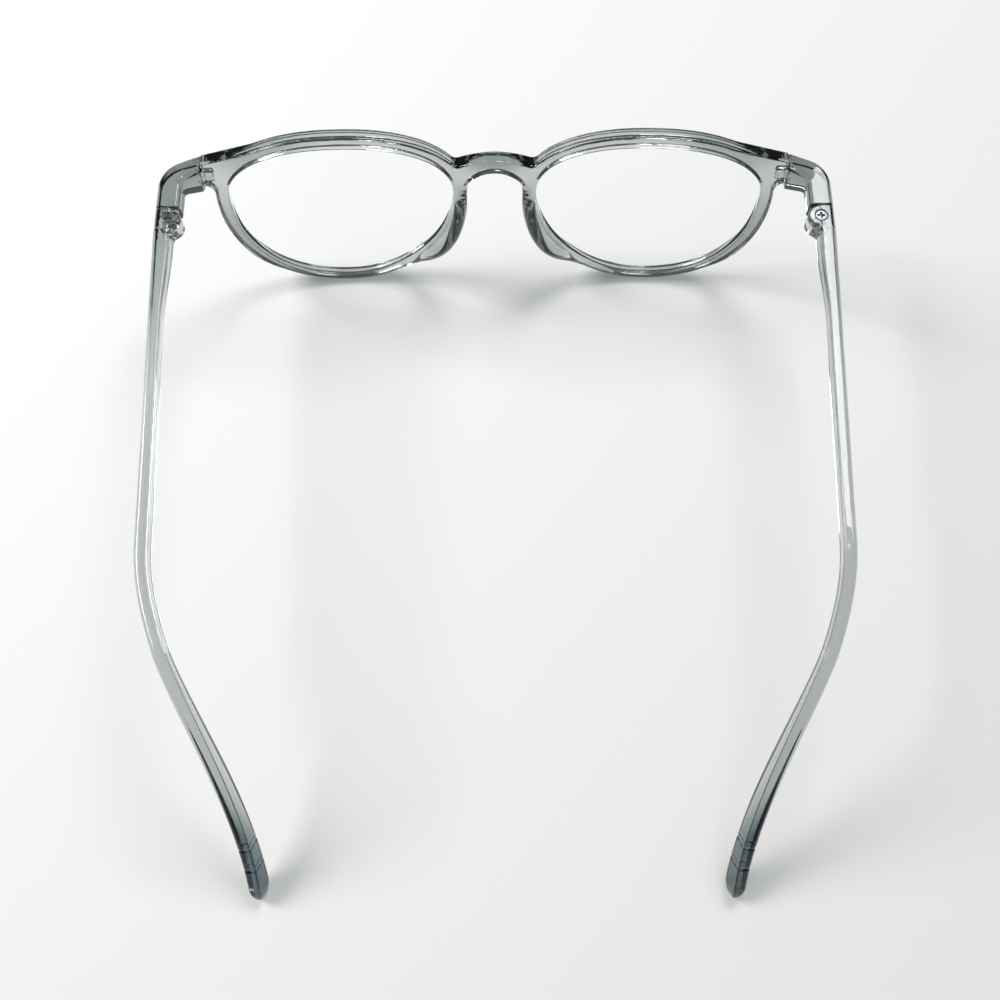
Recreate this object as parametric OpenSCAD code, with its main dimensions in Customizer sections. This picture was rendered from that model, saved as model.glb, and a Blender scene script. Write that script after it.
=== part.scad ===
// Computer glasses with a moulded see-through frame: one front, two end
// pieces, two plain lenses and two folding temples on screwed hinges.
// The front faces -Y, the temples run to +Y and +Z is up. The glasses stand
// open on their lower rims and temple tips. Lengths are in millimetres.

/* [Lens openings] */
// Width of one lens opening
opening_w = 48; // [44:0.5:52]
// Height of one lens opening
opening_h = 40.2; // [36:0.2:43]
// Share of the opening's height that lies below its widest point
widest_at = 0.65; // [0.55:0.01:0.7]
// Gap between the two openings at the nose
nose_gap = 17.6; // [16:0.2:20]

/* [Rims] */
// Width of the rim above the lens
rim_top_w = 2.9; // [2.4:0.1:3.6]
// Width of the rim below the lens
rim_low_w = 2; // [1.8:0.1:3]
// Width of the rim beside the lens
rim_side_w = 2.6; // [2.4:0.1:3.4]
// Thickness of the rim from front to back
rim_t = 3.4; // [3:0.1:4.2]
// Radius of the rounded edges of the front
front_edge_r = 0.5; // [0.3:0.1:1]
// Lean of the front, top forward, in degrees
front_lean = 7; // [4:0.5:10]
// Turn of each half of the front to the rear, in degrees
face_wrap = 2; // [0:0.5:4]

/* [Lenses] */
// Thickness of a lens
lens_t = 1.8; // [1.4:0.1:2.2]
// Reach of the lens's edge bevel into the rim
bevel_reach = 0.6; // [0.3:0.1:0.9]
// Bulge of a lens to the front at its middle
lens_bulge = 1.2; // [0:0.1:2]
// Clearance all round a lens in its groove
lens_fit = 0.06; // [0.04:0.01:0.12]

/* [Bridge and nose pads] */
// Height of the bridge's top edge over the openings' widest points
bridge_up = 9.9; // [8:0.1:11.5]
// Height of the bridge's bar at its middle
bridge_h = 3.4; // [2.6:0.2:4.4]
// Drop of the bridge's top edge towards the rims
bridge_dip = 1.9; // [1:0.1:2.8]
// Depth of the bridge from front to back at its middle
bridge_depth = 4.4; // [3.6:0.2:5.4]
// Reach of the nose pads behind the middle of the rim
pad_reach = 5; // [3.6:0.2:6]
// Radius of the pads' rounded crest
pad_r = 1.5; // [1.2:0.1:1.9]

/* [End pieces] */
// Distance of the seam with the end piece from the lens opening
seam_out = 3.9; // [3.6:0.1:4.6]
// Distance from the seam to the end piece's outer face
end_reach = 8.5; // [7.6:0.1:10]
// Height of the end piece's arm
arm_h = 4.8; // [4.6:0.1:5.4]
// Height of the arm's underside over the openings' widest points
arm_up = 5.5; // [4.5:0.1:6.5]
// Thickness of the arm at the hinge
arm_t = 4.8; // [4.6:0.1:5]
// Height of the end piece at the seam
root_h = 6.2; // [5.4:0.1:6.6]
// Thickness of the end piece at the seam
root_t = 4.8; // [4.4:0.1:5.2]
// Radius of the arm's rounded edges
arm_edge_r = 0.9; // [0.6:0.1:1.6]
// Outer radius of the bend between front and arm
bend_r = 6; // [5.5:0.5:6.5]
// Angle between the front and the end piece's root, in degrees
root_turn = 18; // [12:1:24]
// Length of the straight arm behind the bend
arm_len = 5; // [4:0.5:8]
// Length of the peg that holds the end piece in the front
peg_len = 2.6; // [1.8:0.2:3]

/* [Hinges] */
// Distance of the hinge axis from the temple's outer face
axis_inset = 2.8; // [2.7:0.05:3.2]
// Distance of the hinge axis behind the arm's rear face
axis_back = 2.65; // [2.65:0.05:3]
// Radius of the end piece's tongue
tongue_r = 1.7; // [1.4:0.05:1.75]
// Thickness of the tongue
tongue_t = 1.5; // [1.3:0.1:1.6]
// Clearance between the tongue and the temple's slot
slot_gap = 0.12; // [0.08:0.02:0.16]
// Gap between the open temple and the arm's rear face
stop_gap = 0.12; // [0.08:0.02:0.2]
// Radius of the lugs round the screw
lug_r = 2.5; // [2.2:0.05:2.5]
// Radius of the fillet between the lugs and the temple's inner face
lug_fillet_r = 1.2; // [0.6:0.1:1.6]
// Radius of the screw's shank
shank_r = 0.7; // [0.55:0.05:0.8]
// Radial running clearance of the shank in the tongue
shank_fit = 0.05; // [0.02:0.01:0.08]
// Radius of the screw's head
head_r = 1.2; // [1.1:0.05:1.3]
// Height of the screw's head
head_h = 0.7; // [0.5:0.05:0.8]
// Wall of the threaded insert round the shank
insert_wall = 0.4; // [0.3:0.05:0.5]
// Length of the threaded insert
insert_len = 1.2; // [1:0.05:1.3]

/* [Temples] */
// Distance from the arm's rear face to the tip, measured straight back
temple_reach = 132.3; // [126:0.5:138]
// Thickness of the temple at the hinge
temple_front_t = 3.4; // [2.8:0.1:3.5]
// Thickness of the blade along its middle
blade_t = 2.5; // [2.2:0.1:2.9]
// Height of the blade along its middle
blade_h = 4.2; // [3.6:0.1:5]
// Thickness of the tip
tip_t = 2.8; // [2.4:0.1:3.4]
// Height of the tip
tip_h = 4.8; // [4.2:0.1:5.6]
// Inward lean of the straight blade, per length
blade_lean = 0.044; // [0:0.002:0.06]
// Inward sweep of the tip
hook_in = 16.5; // [12:0.5:20]
// Length from the tip over which the tip sweeps in
hook_len = 60; // [52:1:70]
// Length from the tip over which the temple drops to the table
drop_len = 40; // [36:1:50]
// Share of that length over which the temple bends down
drop_bend = 0.15; // [0.1:0.05:0.6]
// Turn of the tip's inner face upwards, in degrees
tip_roll = 20; // [0:1:24]
// Depth of the two ring grooves round the tip
groove_depth = 0.25; // [0.1:0.05:0.35]
// Distance from the tip's end to the nearer ring groove
groove_from_end = 6; // [5:0.5:8]
// Distance between the two ring grooves
groove_pitch = 3.4; // [2.5:0.1:4]

/* [Hidden] */

smoke = [0.52, 0.56, 0.57];
clear = [0.88, 0.93, 0.94];
steel = [0.25, 0.26, 0.27];
brass = [0.72, 0.6, 0.35];

// points round an opening, round a swept section's corner and round a hole
outline_n = 60;
corner_n = 3;
hole_n = 32;
curve_n = 48;
// depth by which joined solids and cuts run into each other
overlap = 0.6;

// Blends and small helpers
function clamp01(t) = min(max(t, 0), 1);
function smooth(t) = pow(clamp01(t), 2) * (3 - 2 * clamp01(t));
function mix(a, b, t) = a + (b - a) * t;
function unit(v) = v / norm(v);
function signed_pow(a, p) = sign(a) * pow(abs(a), p);

// Solid through a list of closed rings with the same number of points
module skin(rings) {
    n = len(rings[0]);
    last = len(rings) - 1;
    points = [for (ring = rings) for (p = ring) p];
    first_mid = [for (k = [0:2]) ring_sum(rings[0], k) / n];
    last_mid = [for (k = [0:2]) ring_sum(rings[last], k) / n];
    sides = [for (i = [0:last - 1]) for (j = [0:n - 1]) each [
        [i * n + j, i * n + (j + 1) % n, (i + 1) * n + j],
        [i * n + (j + 1) % n, (i + 1) * n + (j + 1) % n, (i + 1) * n + j]]];
    ends = [for (j = [0:n - 1]) each [
        [(j + 1) % n, j, len(points)],
        [last * n + j, last * n + (j + 1) % n, len(points) + 1]]];
    polyhedron(concat(points, [first_mid, last_mid]), concat(sides, ends));
}
function ring_sum(ring, k) = [for (p = ring) p[k]] * [for (p = ring) 1];

// Closed loop of sections, such as a rim
module loop_skin(rings) {
    n = len(rings[0]);
    m = len(rings);
    points = [for (ring = rings) for (p = ring) p];
    sides = [for (i = [0:m - 1]) for (j = [0:n - 1]) let (k = (i + 1) % m) each [
        [i * n + j, i * n + (j + 1) % n, k * n + j],
        [i * n + (j + 1) % n, k * n + (j + 1) % n, k * n + j]]];
    polyhedron(points, sides);
}

// Rounded rectangle, counter-clockwise, as [across, up] points. The rounding leaves a flat on each side.
side_flat = 0.1;
function section(w, h, edge_r) = let (r = min(edge_r, (min(w, h) - side_flat) / 2))
    [for (q = [0:3]) for (i = [0:corner_n - 1])
    let (a = 90 * q + 90 * i / (corner_n - 1), sx = q == 0 || q == 3 ? 1 : -1, sy = q < 2 ? 1 : -1)
    [sx * (w / 2 - r) + r * cos(a), sy * (h / 2 - r) + r * sin(a)]];

// A section set square to a path, turned by roll about it
function placed(c, dir, w, h, r, roll) =
    let (t = unit(dir), side = unit([t[1], -t[0], 0]), up = cross(side, t))
    let (s = side * cos(roll) - up * sin(roll), u = up * cos(roll) + side * sin(roll))
    [for (p = section(w, h, r)) c + s * p[0] + u * p[1]];

// Lens opening, in the plane of the front: x from the middle, then height
opening_x = (nose_gap + opening_w) / 2;
opening_out = opening_x + opening_w / 2;
opening_mid = rim_low_w + opening_h * widest_at;
half_up = opening_h * (1 - widest_at);
half_down = opening_h * widest_at;
// Fullness of the four quarters: upper temple side, upper nose side, lower nose side, lower temple side
fullness = [2.2, 2.25, 1.84, 2.3];
function quarter(a) = floor((a % 360) / 90);
function opening_point(a) = let (n = fullness[quarter(a)])
    [opening_x + opening_w / 2 * signed_pow(cos(a), 2 / n),
     opening_mid + (a % 360 < 180 ? half_up : half_down) * signed_pow(sin(a), 2 / n)];
function outward(a) = let (d = opening_point(a + 0.5) - opening_point(a + 359.5)) unit([d[1], -d[0]]);
function beside(a, out) = opening_point(a) + outward(a) * out;
function rim_w(a) = mix(rim_side_w, sin(a) > 0 ? rim_top_w : rim_low_w, pow(sin(a), 2));
angles = [for (i = [0:outline_n - 1]) 360 * (i + 0.5) / outline_n];

// Rim, as sections round the opening: x along the front, y to the rear, z up the front.
// The groove for the lens's bevel runs round its inner face.
mouth = lens_t / 2 + lens_fit;
inner_edge_r = rim_t / 2 - mouth - side_flat;
function part_of(list, from, to) = [for (i = [from:to - 1]) list[i]];
function rim_section(w) = let (c = corner_n, outer = section(w, rim_t, front_edge_r),
        inner = section(w, rim_t, inner_edge_r))
    concat(part_of(outer, 0, c), part_of(inner, c, 2 * c),
        [[-w / 2, mouth], [bevel_reach - w / 2, 0], [-w / 2, -mouth]],
        part_of(inner, 2 * c, 3 * c), part_of(outer, 3 * c, 4 * c));
function rim_ring(a) = let (w = rim_w(a))
    [for (q = rim_section(w)) let (p = beside(a, q[0] + w / 2)) [p[0], q[1], p[1]]];
rim_rings = [for (i = [outline_n - 1:-1:0]) rim_ring(angles[i])];

// The front's own frame: leaned about its lower edge, each half turned to the rear
wrap_shift = opening_x * tan(face_wrap) / 2;
function leaned(p) = let (c = cos(front_lean), s = sin(front_lean))
    [p[0], p[1] * c - p[2] * s, p[1] * s + p[2] * c];
function wrapped(p) = let (c = cos(face_wrap), s = sin(face_wrap))
    [p[0] * c - p[1] * s, p[0] * s + p[1] * c - wrap_shift, p[2]];
function on_front(p) = leaned(wrapped(p));
lift = -min([for (ring = rim_rings) for (p = ring) on_front(p)[2]]);
front_most = min([for (ring = rim_rings) for (p = ring) on_front(p)[1]]);

// Places on the end piece that the temple shares
seam_x = opening_out + seam_out;
half_w = seam_x + end_reach;
arm_low = (opening_mid + arm_up) * cos(front_lean) + lift;
temple_top = arm_low + arm_h;

// Temple path. Distances run straight back from the hinge axis.
taper_from = 4;
taper_to = 24;
swell_len = 38;
blade_edge_r = 0.6;
end_round = 2.6;
end_least = 0.2;
temple_len = temple_reach - axis_back;
function along(d, a, b, c) = mix(mix(a, b, smooth((d - taper_from) / (taper_to - taper_from))), c,
    smooth((d - temple_len + swell_len) / swell_len));
function temple_t(d) = along(d, temple_front_t, blade_t, tip_t);
function temple_h(d) = along(d, arm_h, blade_h, tip_h);
function hook(d) = smooth((d - temple_len + hook_len) / hook_len);
function inward(d) = blade_lean * max(d - taper_from, 0) + hook_in * hook(d);
function drop(d) = let (k = clamp01((d - temple_len + drop_len) / drop_len))
    k * k * (1 + drop_bend) / (k + drop_bend);
function temple_mid(d, fall) = [axis_inset - temple_t(d) / 2 - inward(d), d,
    temple_top - temple_h(d) / 2 - fall * drop(d)];
groove_ds = [for (i = [0:1]) temple_len - (groove_from_end + i * groove_pitch)];
groove_w = 0.5;
groove_flank = 0.15;
function shrink(d) = max([for (g = groove_ds) abs(d - g) < groove_w / 2 ? groove_depth : 0]);
function end_scale(d) = let (e = (d - temple_len) / end_round + 1)
    e <= 0 ? 1 : max(sqrt(max(1 - e * e, 0)), end_least);
path_step = 0.2;
function temple_ring(d, fall) =
    let (dir = temple_mid(d + path_step, fall) - temple_mid(d - path_step, fall),
        k = end_scale(d), g = shrink(d))
    placed(temple_mid(d, fall), dir, temple_t(d) * k - 2 * g, temple_h(d) * k - 2 * g, (blade_edge_r - g) * k,
        tip_roll * hook(d));
blade_steps = 36;
first_d = -axis_back + stop_gap;
groove_edges = [-1, -1, 1, 1] * groove_w / 2 + [-1, 0.1, -0.1, 1] * groove_flank;
temple_ds = concat(
    [for (i = [0:blade_steps]) mix(first_d, groove_ds[1] - groove_w, i / blade_steps)],
    [for (i = [1:-1:0]) each [for (e = groove_edges) groove_ds[i] + e]],
    [for (a = [0:15:75]) temple_len - end_round * (1 - sin(a))],
    [temple_len]);
// The fall is found in steps, so that the lowest point of the tip meets the table
function tip_low(fall) = min([for (d = temple_ds) if (d > temple_len / 2)
    for (p = temple_ring(d, fall)) p[2]]);
first_fall = temple_top - tip_h;
second_fall = first_fall + tip_low(first_fall);
fall = second_fall + tip_low(second_fall);
temple_rings = [for (d = temple_ds) temple_ring(d, fall)];

// End piece path in plan: root, bend and straight arm. Its outer line meets the front's face at the seam.
tongue_z = arm_low + arm_h / 2;
seam_mid = (tongue_z - lift) / cos(front_lean);
root_line_y = leaned(wrapped([seam_x, -rim_t / 2, seam_mid]))[1];
bend_x = half_w - bend_r;
root_run = (bend_x + bend_r * sin(root_turn) - seam_x) / cos(root_turn);
bend_y = root_line_y + root_run * sin(root_turn) + bend_r * cos(root_turn);
arm_rear = bend_y + arm_len;
axis_x = half_w - axis_inset;
axis_y = arm_rear + axis_back;
bend_steps = 8;
// A station is -1 at the root, 0 where the bend begins, 1 where it ends and 2 at the arm's rear face
function end_ring(s) = let (a = mix(root_turn - 90, 0, clamp01(s)), t = mix(root_t, arm_t, smooth(s)),
        straightened = smooth((s + 1) / 2), dir = [-sin(a), cos(a), 0],
        mid = [bend_x, bend_y, tongue_z] + (bend_r - t / 2) * [cos(a), sin(a), 0])
    placed(mid + dir * (s < 0 ? s * root_run : max(s - 1, 0) * arm_len), dir, t,
        mix(root_h, arm_h, straightened), arm_edge_r, front_lean * (1 - straightened));
// The root's first ring is slid along the root until it lies flat in the seam's plane
seam_gap = 0.04;
function onto_seam(ring) = [for (p = ring)
    let (slid = (seam_x + seam_gap - p[0]) / cos(root_turn)) p + slid * [cos(root_turn), sin(root_turn), 0]];
end_rings = concat(
    [onto_seam(end_ring(-1))],
    [for (i = [0:bend_steps]) end_ring(i / bend_steps)],
    [end_ring(2)]);

// Origin: the middle of the bounding box's base
temple_back = axis_y + max([for (ring = temple_rings) for (p = ring) p[1]]);
shift_y = -(front_most + temple_back) / 2;

// Hinge levels
slot_h = tongue_t + 2 * slot_gap;
lug_sink = 0.1;
lug_top = arm_low + arm_h - lug_sink;
lug_low = arm_low + lug_sink;
head_gap = 0.08;
insert_fit = 0.02;
insert_r = shank_r + insert_wall;

module place() translate([0, shift_y, 0]) children();
module at_front() place() translate([0, 0, lift]) rotate([front_lean, 0, 0]) children();
module at_half() at_front() translate([0, -wrap_shift, 0]) rotate([0, 0, face_wrap]) children();
module at_axis() place() translate([axis_x, axis_y, 0]) children();
module at_level(z) at_axis() translate([0, 0, z]) children();
module shank_bore() at_level(arm_low - overlap)
    cylinder(r = shank_r + shank_fit, h = arm_h + 2 * overlap, $fn = hole_n);
module left() children();
module right() mirror([1, 0, 0]) children();

// Front

// Bar between the rims: its top edge dips towards them and its underside is the nose arch
arch_in = 3.4;
arch_drop = 3.6;
arch_power = 2.4;
bridge_into_rim = 1.2;
bridge_steps = 8;
arch_half = nose_gap / 2 - arch_in;
bridge_half = nose_gap / 2 - bridge_into_rim;
bridge_top = opening_mid + bridge_up;
function bridge_high(x) = bridge_top - bridge_dip * pow(x / bridge_half, 2);
function bridge_low(x) = bridge_top - bridge_h - arch_drop * pow(abs(x) / arch_half, arch_power);
function bridge_ring(x) = let (hi = bridge_high(x), lo = bridge_low(x))
    let (depth = mix(bridge_depth, rim_t, smooth(abs(x) / bridge_half)))
    [for (p = section(depth, hi - lo, front_edge_r)) [x, (depth - rim_t) / 2 + p[0], (hi + lo) / 2 + p[1]]];
module bridge() at_front()
    skin([for (i = [bridge_steps:-1:-bridge_steps]) bridge_ring(i / bridge_steps * bridge_half)]);

// Nose pad: a rounded ridge on the nose side of the rim, hulled between stations of its crest. A station is
// the angle round the opening, the share of the reach, the share of the radius and the distance of the
// crest's middle from the opening.
pad_stations = [[174, 0.25, 0.8, 1.4], [185, 0.6, 0.95, 1.55], [197, 0.92, 1, 1.65], [209, 1, 1, 2],
    [219, 0.85, 1, 2], [227, 0.5, 0.92, 1.6], [236, 0.15, 0.72, 1.3], [246, -0.1, 0.55, 1.1],
    [256, -0.3, 0.4, 1]];
pad_foot_in = 0.1;
module pad_station(q) {
    crest = beside(q[0], q[3]);
    foot_r = (rim_w(q[0]) - bevel_reach) / 2 - pad_foot_in;
    foot = beside(q[0], rim_w(q[0]) - pad_foot_in - foot_r);
    translate([crest[0], q[1] * (pad_reach - pad_r), crest[1]]) sphere(pad_r * q[2], $fn = 16);
    translate([foot[0], 0, foot[1]]) sphere(foot_r, $fn = 16);
}
module pad() for (i = [0:len(pad_stations) - 2]) hull() {
    pad_station(pad_stations[i]);
    pad_station(pad_stations[i + 1]);
}

// Brow: fills the corner between the rim and the seam, with a hollow under it beside the rim
brow_from = opening_x + 0.3 * opening_w;
brow_steps = 10;
brow_start_in = 0.3;
brow_hollow = [3.4, 4];
function opening_top(x) = let (k = clamp01((x - opening_x) / (opening_w / 2)), n = fullness[0])
    opening_mid + half_up * pow(1 - pow(k, n), 1 / n);
brow_start_high = opening_top(brow_from) + rim_top_w - brow_start_in;
function brow_share(x) = (x - brow_from) / (seam_x - brow_from);
function brow_high(x) = mix(brow_start_high, seam_mid + root_h / 2, brow_share(x));
function brow_low(x) = max(opening_top(x) + rim_side_w / 2,
    seam_mid - root_h / 2 - brow_hollow[1] * pow(clamp01((seam_x - x) / brow_hollow[0]), 2));
function brow_ring(x) = let (t = mix(rim_t, root_t, smooth(brow_share(x))),
        r = mix(front_edge_r, arm_edge_r, smooth(brow_share(x))),
        h = max(brow_high(x) - brow_low(x), 2 * r + side_flat))
    [for (p = section(t, h, r)) [x, (t - rim_t) / 2 + p[0], brow_high(x) - h / 2 + p[1]]];
module brow() skin([for (i = [brow_steps:-1:0]) brow_ring(mix(brow_from, seam_x, i / brow_steps))]);

// Lens: rings from the middle of one face round the bevelled edge to the middle of the other
lens_mid = [opening_x, rim_low_w + opening_h / 2];
face_shares = [0.1, 0.4, 0.7, 1];
function lens_ring(share, back, out, turn) = [for (a = angles) let (p = beside(a + turn, out * share))
    [mix(lens_mid[0], p[0], share), back - lens_bulge * (1 - share * share), mix(lens_mid[1], p[1], share)]];
function lens_rings(half_t, out, tip, turn) = concat(
    [for (k = face_shares) lens_ring(k, -half_t, out, turn)],
    [lens_ring(1, 0, tip, turn)],
    [for (i = [len(face_shares) - 1:-1:0]) lens_ring(face_shares[i], half_t, out, turn)]);
module lens() color(clear) at_half() skin(lens_rings(lens_t / 2, -lens_fit, bevel_reach - lens_fit, 0));
// What is added to the rim keeps clear of the lens and its groove by this much
lens_room = 0.1;
module room_for_lens()
    skin(lens_rings(mouth + lens_room, lens_room, bevel_reach + lens_room, 180 / outline_n));

// Peg on the end piece and its socket in the front
peg_wall = 1.2;
peg_fit = 0.08;
peg_t = root_t - 2 * peg_wall;
peg_h = root_h - 2 * peg_wall;
module peg(fit, len) place() translate([seam_x, root_line_y + root_t / 2, tongue_z])
    rotate([front_lean, 0, 0]) translate([-len, -peg_t / 2 - fit, -peg_h / 2 - fit])
        cube([len + seam_gap + overlap, peg_t + 2 * fit, peg_h + 2 * fit]);

module front_half() difference() {
    at_half() {
        loop_skin(rim_rings);
        difference() {
            union() {
                pad();
                brow();
            }
            room_for_lens();
        }
    }
    peg(peg_fit, peg_len + peg_fit);
}
module frame_front() color(smoke) {
    left() front_half();
    right() front_half();
    bridge();
}

// End piece with its tongue and peg
module end_piece() color(smoke) difference() {
    union() {
        place() skin(end_rings);
        peg(0, peg_len);
        at_axis() translate([0, 0, tongue_z - tongue_t / 2]) {
            cylinder(r = tongue_r, h = tongue_t, $fn = hole_n);
            translate([-tongue_r, -axis_back - overlap, 0])
                cube([2 * tongue_r, axis_back + overlap, tongue_t]);
        }
    }
    shank_bore();
}

// Temple with the two lugs of its hinge
slot_r = tongue_r + slot_gap;
wall_mid = (axis_inset + slot_r) / 2;
face_in = axis_inset - temple_front_t;
fillet_y = sqrt(pow(lug_r + lug_fillet_r, 2) - pow(face_in - lug_fillet_r, 2));
module lug_plan() {
    circle(r = lug_r, $fn = curve_n);
    translate([0, -lug_r]) square([wall_mid, lug_r + fillet_y]);
    difference() {
        polygon([[0, 0], [face_in - lug_fillet_r, fillet_y], [wall_mid, fillet_y], [wall_mid, 0]]);
        translate([face_in - lug_fillet_r, fillet_y]) circle(r = lug_fillet_r, $fn = curve_n);
    }
}
module temple_slot() translate([0, 0, tongue_z - slot_h / 2]) {
    reach = axis_back + arm_t;
    cylinder(r = slot_r, h = slot_h, $fn = hole_n);
    translate([-reach, -reach, 0]) cube([reach, reach + slot_r, slot_h]);
    translate([-reach, -reach, 0]) cube([reach + slot_r, reach, slot_h]);
}
module temple() color(smoke) difference() {
    union() {
        at_axis() skin(temple_rings);
        at_axis() translate([0, 0, lug_low]) linear_extrude(lug_top - lug_low) lug_plan();
    }
    at_axis() temple_slot();
    shank_bore();
    at_level(lug_top - head_h) cylinder(r = head_r + head_gap, h = head_h + overlap, $fn = hole_n);
    at_level(lug_low - overlap) cylinder(r = insert_r + insert_fit, h = overlap + insert_len, $fn = hole_n);
}

// Screw with a crossed recess, and the insert that its shank ends in
recess_w = 0.36;
recess_l = 1.5;
recess_h = 0.45;
tip_short = 0.3;
module hinge_screw() color(steel) difference() {
    union() {
        at_level(lug_top - head_h + insert_fit) cylinder(r = head_r, h = head_h - head_gap, $fn = hole_n);
        at_level(lug_low + tip_short)
            cylinder(r = shank_r, h = lug_top - lug_low - tip_short - head_h / 2, $fn = hole_n);
    }
    at_level(lug_top - recess_h) for (turn = [0, 90]) rotate(turn)
        translate([-recess_l / 2, -recess_w / 2, 0]) cube([recess_l, recess_w, recess_h]);
}
module threaded_insert() color(brass) difference() {
    at_level(lug_low) cylinder(r = insert_r, h = insert_len - insert_fit, $fn = hole_n);
    at_level(lug_low - overlap)
        cylinder(r = shank_r + insert_fit, h = insert_len + 2 * overlap, $fn = hole_n);
}

module left_end_piece() left() end_piece();
module right_end_piece() right() end_piece();
module left_lens() left() lens();
module right_lens() right() lens();
module left_temple() left() temple();
module right_temple() right() temple();
module left_hinge_screw() left() hinge_screw();
module right_hinge_screw() right() hinge_screw();
module left_threaded_insert() left() threaded_insert();
module right_threaded_insert() right() threaded_insert();

frame_front();
left_end_piece();
right_end_piece();
left_lens();
right_lens();
left_temple();
right_temple();
left_hinge_screw();
right_hinge_screw();
left_threaded_insert();
right_threaded_insert();
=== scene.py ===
import math

import bpy
import numpy as np
from mathutils import Matrix, Vector


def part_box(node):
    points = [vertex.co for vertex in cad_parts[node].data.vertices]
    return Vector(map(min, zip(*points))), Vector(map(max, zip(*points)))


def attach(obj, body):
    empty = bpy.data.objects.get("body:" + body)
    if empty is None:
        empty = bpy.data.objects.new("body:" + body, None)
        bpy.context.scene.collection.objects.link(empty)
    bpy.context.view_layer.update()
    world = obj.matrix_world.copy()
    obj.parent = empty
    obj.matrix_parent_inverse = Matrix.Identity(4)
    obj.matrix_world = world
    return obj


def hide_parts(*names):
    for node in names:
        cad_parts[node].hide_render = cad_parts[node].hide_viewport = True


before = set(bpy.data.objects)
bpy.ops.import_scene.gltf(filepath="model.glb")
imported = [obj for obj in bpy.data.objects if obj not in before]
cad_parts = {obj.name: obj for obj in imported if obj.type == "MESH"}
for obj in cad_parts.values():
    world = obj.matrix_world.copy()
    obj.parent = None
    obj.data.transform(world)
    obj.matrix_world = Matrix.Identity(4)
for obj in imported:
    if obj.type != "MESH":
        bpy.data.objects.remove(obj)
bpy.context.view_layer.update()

MM = 0.001

# Camera: place in millimetres, angle down, roll and focal length, as fitted to points of the photograph
camera_at = (-0.861, 85.909, 249.426)
camera_down, camera_roll = 69.073, -0.249
focal_px, photo_px, sensor_mm = 1222.565, 1000, 36
camera_near_m, camera_far_m = 0.01, 10

# Sizes in millimetres and degrees, as in the CAD part
opening_w, opening_h, widest_at, nose_gap = 48, 40.2, 0.65, 17.6
fullness = (2.2, 2.25, 1.84, 2.3)
rim_top_w, rim_low_w, rim_side_w, rim_t = 2.9, 2.0, 2.6, 3.4
front_lean, face_wrap = 7, 2
lens_t, bevel_reach, lens_bulge, lens_fit = 1.8, 0.6, 1.2, 0.06
bridge_up, bridge_h, bridge_dip, bridge_depth = 9.9, 3.4, 1.9, 4.4
pad_reach, pad_r = 5, 1.5
seam_out, end_reach = 3.9, 8.5
arm_h, arm_up, root_h, root_t = 4.8, 5.5, 6.2, 4.8
bend_r, root_turn, arm_len, peg_len = 6, 18, 5, 2.6
axis_inset, axis_back, tongue_r, tongue_t = 2.8, 2.65, 1.7, 1.5
slot_gap, stop_gap, lug_r, lug_fillet_r = 0.12, 0.12, 2.5, 1.2
shank_r, shank_fit, head_r, head_h = 0.7, 0.05, 1.2, 0.7
insert_wall, insert_len = 0.4, 1.2
temple_reach, temple_front_t, blade_t, blade_h, tip_t, tip_h = 132.3, 3.4, 2.5, 4.2, 2.8, 4.8
blade_lean, hook_in, hook_len, drop_len, drop_bend, tip_roll = 0.044, 16.5, 60, 40, 0.15, 20
taper_from, taper_to, swell_len, end_round = 4, 24, 38, 2.6
groove_depth, groove_from_end, groove_pitch = 0.25, 6, 3.4
cad_front_edge, cad_corner_turns = 0.5, (0, 45, 90)

# Outline: its points, the finer points they are taken from, and the softening mean's spread and reach
outline_n, outline_fine_n, outline_spread, outline_tail = 1440, 7200, 1.2, 4
# Tables in the front's plane: two corners, cell, the coarse search's stride, and where the normal is exact
plane_from, plane_to, plane_cell, plane_stride, plane_near = (3.0, -2.0), (62.5, 47.5), 0.1, 8, 0.3
# Edge roundings: the front's tops, its undersides, in the openings, and at the end pieces
front_edge, under_edge, inner_edge, end_edge = 0.6, 1.25, 0.4, 0.92
# Small edges where faces meet: at the front's face, in the lens groove, at the seam and at the peg's socket
crisp_edge, groove_edge, seam_edge, socket_edge = 0.05, 0.06, 0.06, 0.1
# Undersides: how far under the bridge's top they start, and the way over which they do
under_from, under_run = 2, 1.5
# Brow: start as a share of the opening, sink under the rim's top, least height, lower edge's dip and run
brow_start, brow_sink, brow_least_h, brow_dip, brow_dip_run = 0.3, 0.3, 1, 4, 3.4
# Bridge: how far its end and its arch's end lie inside half the nose gap, overlap, arch's rise and power
bridge_in, arch_in, bridge_over, arch_rise, arch_power = 1.2, 3.4, 0.6, 3.6, 2.4
# The bridge is straight up to here, and over this run it turns into the wrapped halves
straight_half, straight_run = 3, 6
# Fillets between brow and rim, above and below, of the bridge and of the pads
brow_fillet, brow_under_fillet, bridge_fillet, pad_fillet = 0.4, 2.2, 1.5, 0.9
# The wide fillet below the brow: run in height, start inside the opening's outer end, run outwards
wide_rise, wide_from, wide_run = 2, 6, 4
# Pads: cover over the foot, least share that has a ridge, zone where the opening's rear edge stays sharp
foot_cover, pad_least, pad_near = 0.1, -0.34, 0.5
# A distance that is far from any surface
far_off = 9.0
# Peg: its middle inside the seam, how much shorter its half is than its length, half depth, half height,
# rounding and play; and the seam's gap
peg_in, peg_short, peg_half_t, peg_half_h, peg_round, peg_fit = 0.6, 0.8, 0.95, 1.55, 0.6, 0.06
seam_gap = 0.04
# Bubbles in a seam: count, turn from one to the next in radians, spread, tallness, cluster's middle, and edge
bubble_n, bubble_turn, bubble_spread, bubble_tall = 11, 2.4, 0.62, 1.1
bubble_mid, bubble_edge = (0.35, 0.2), 0.03
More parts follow.
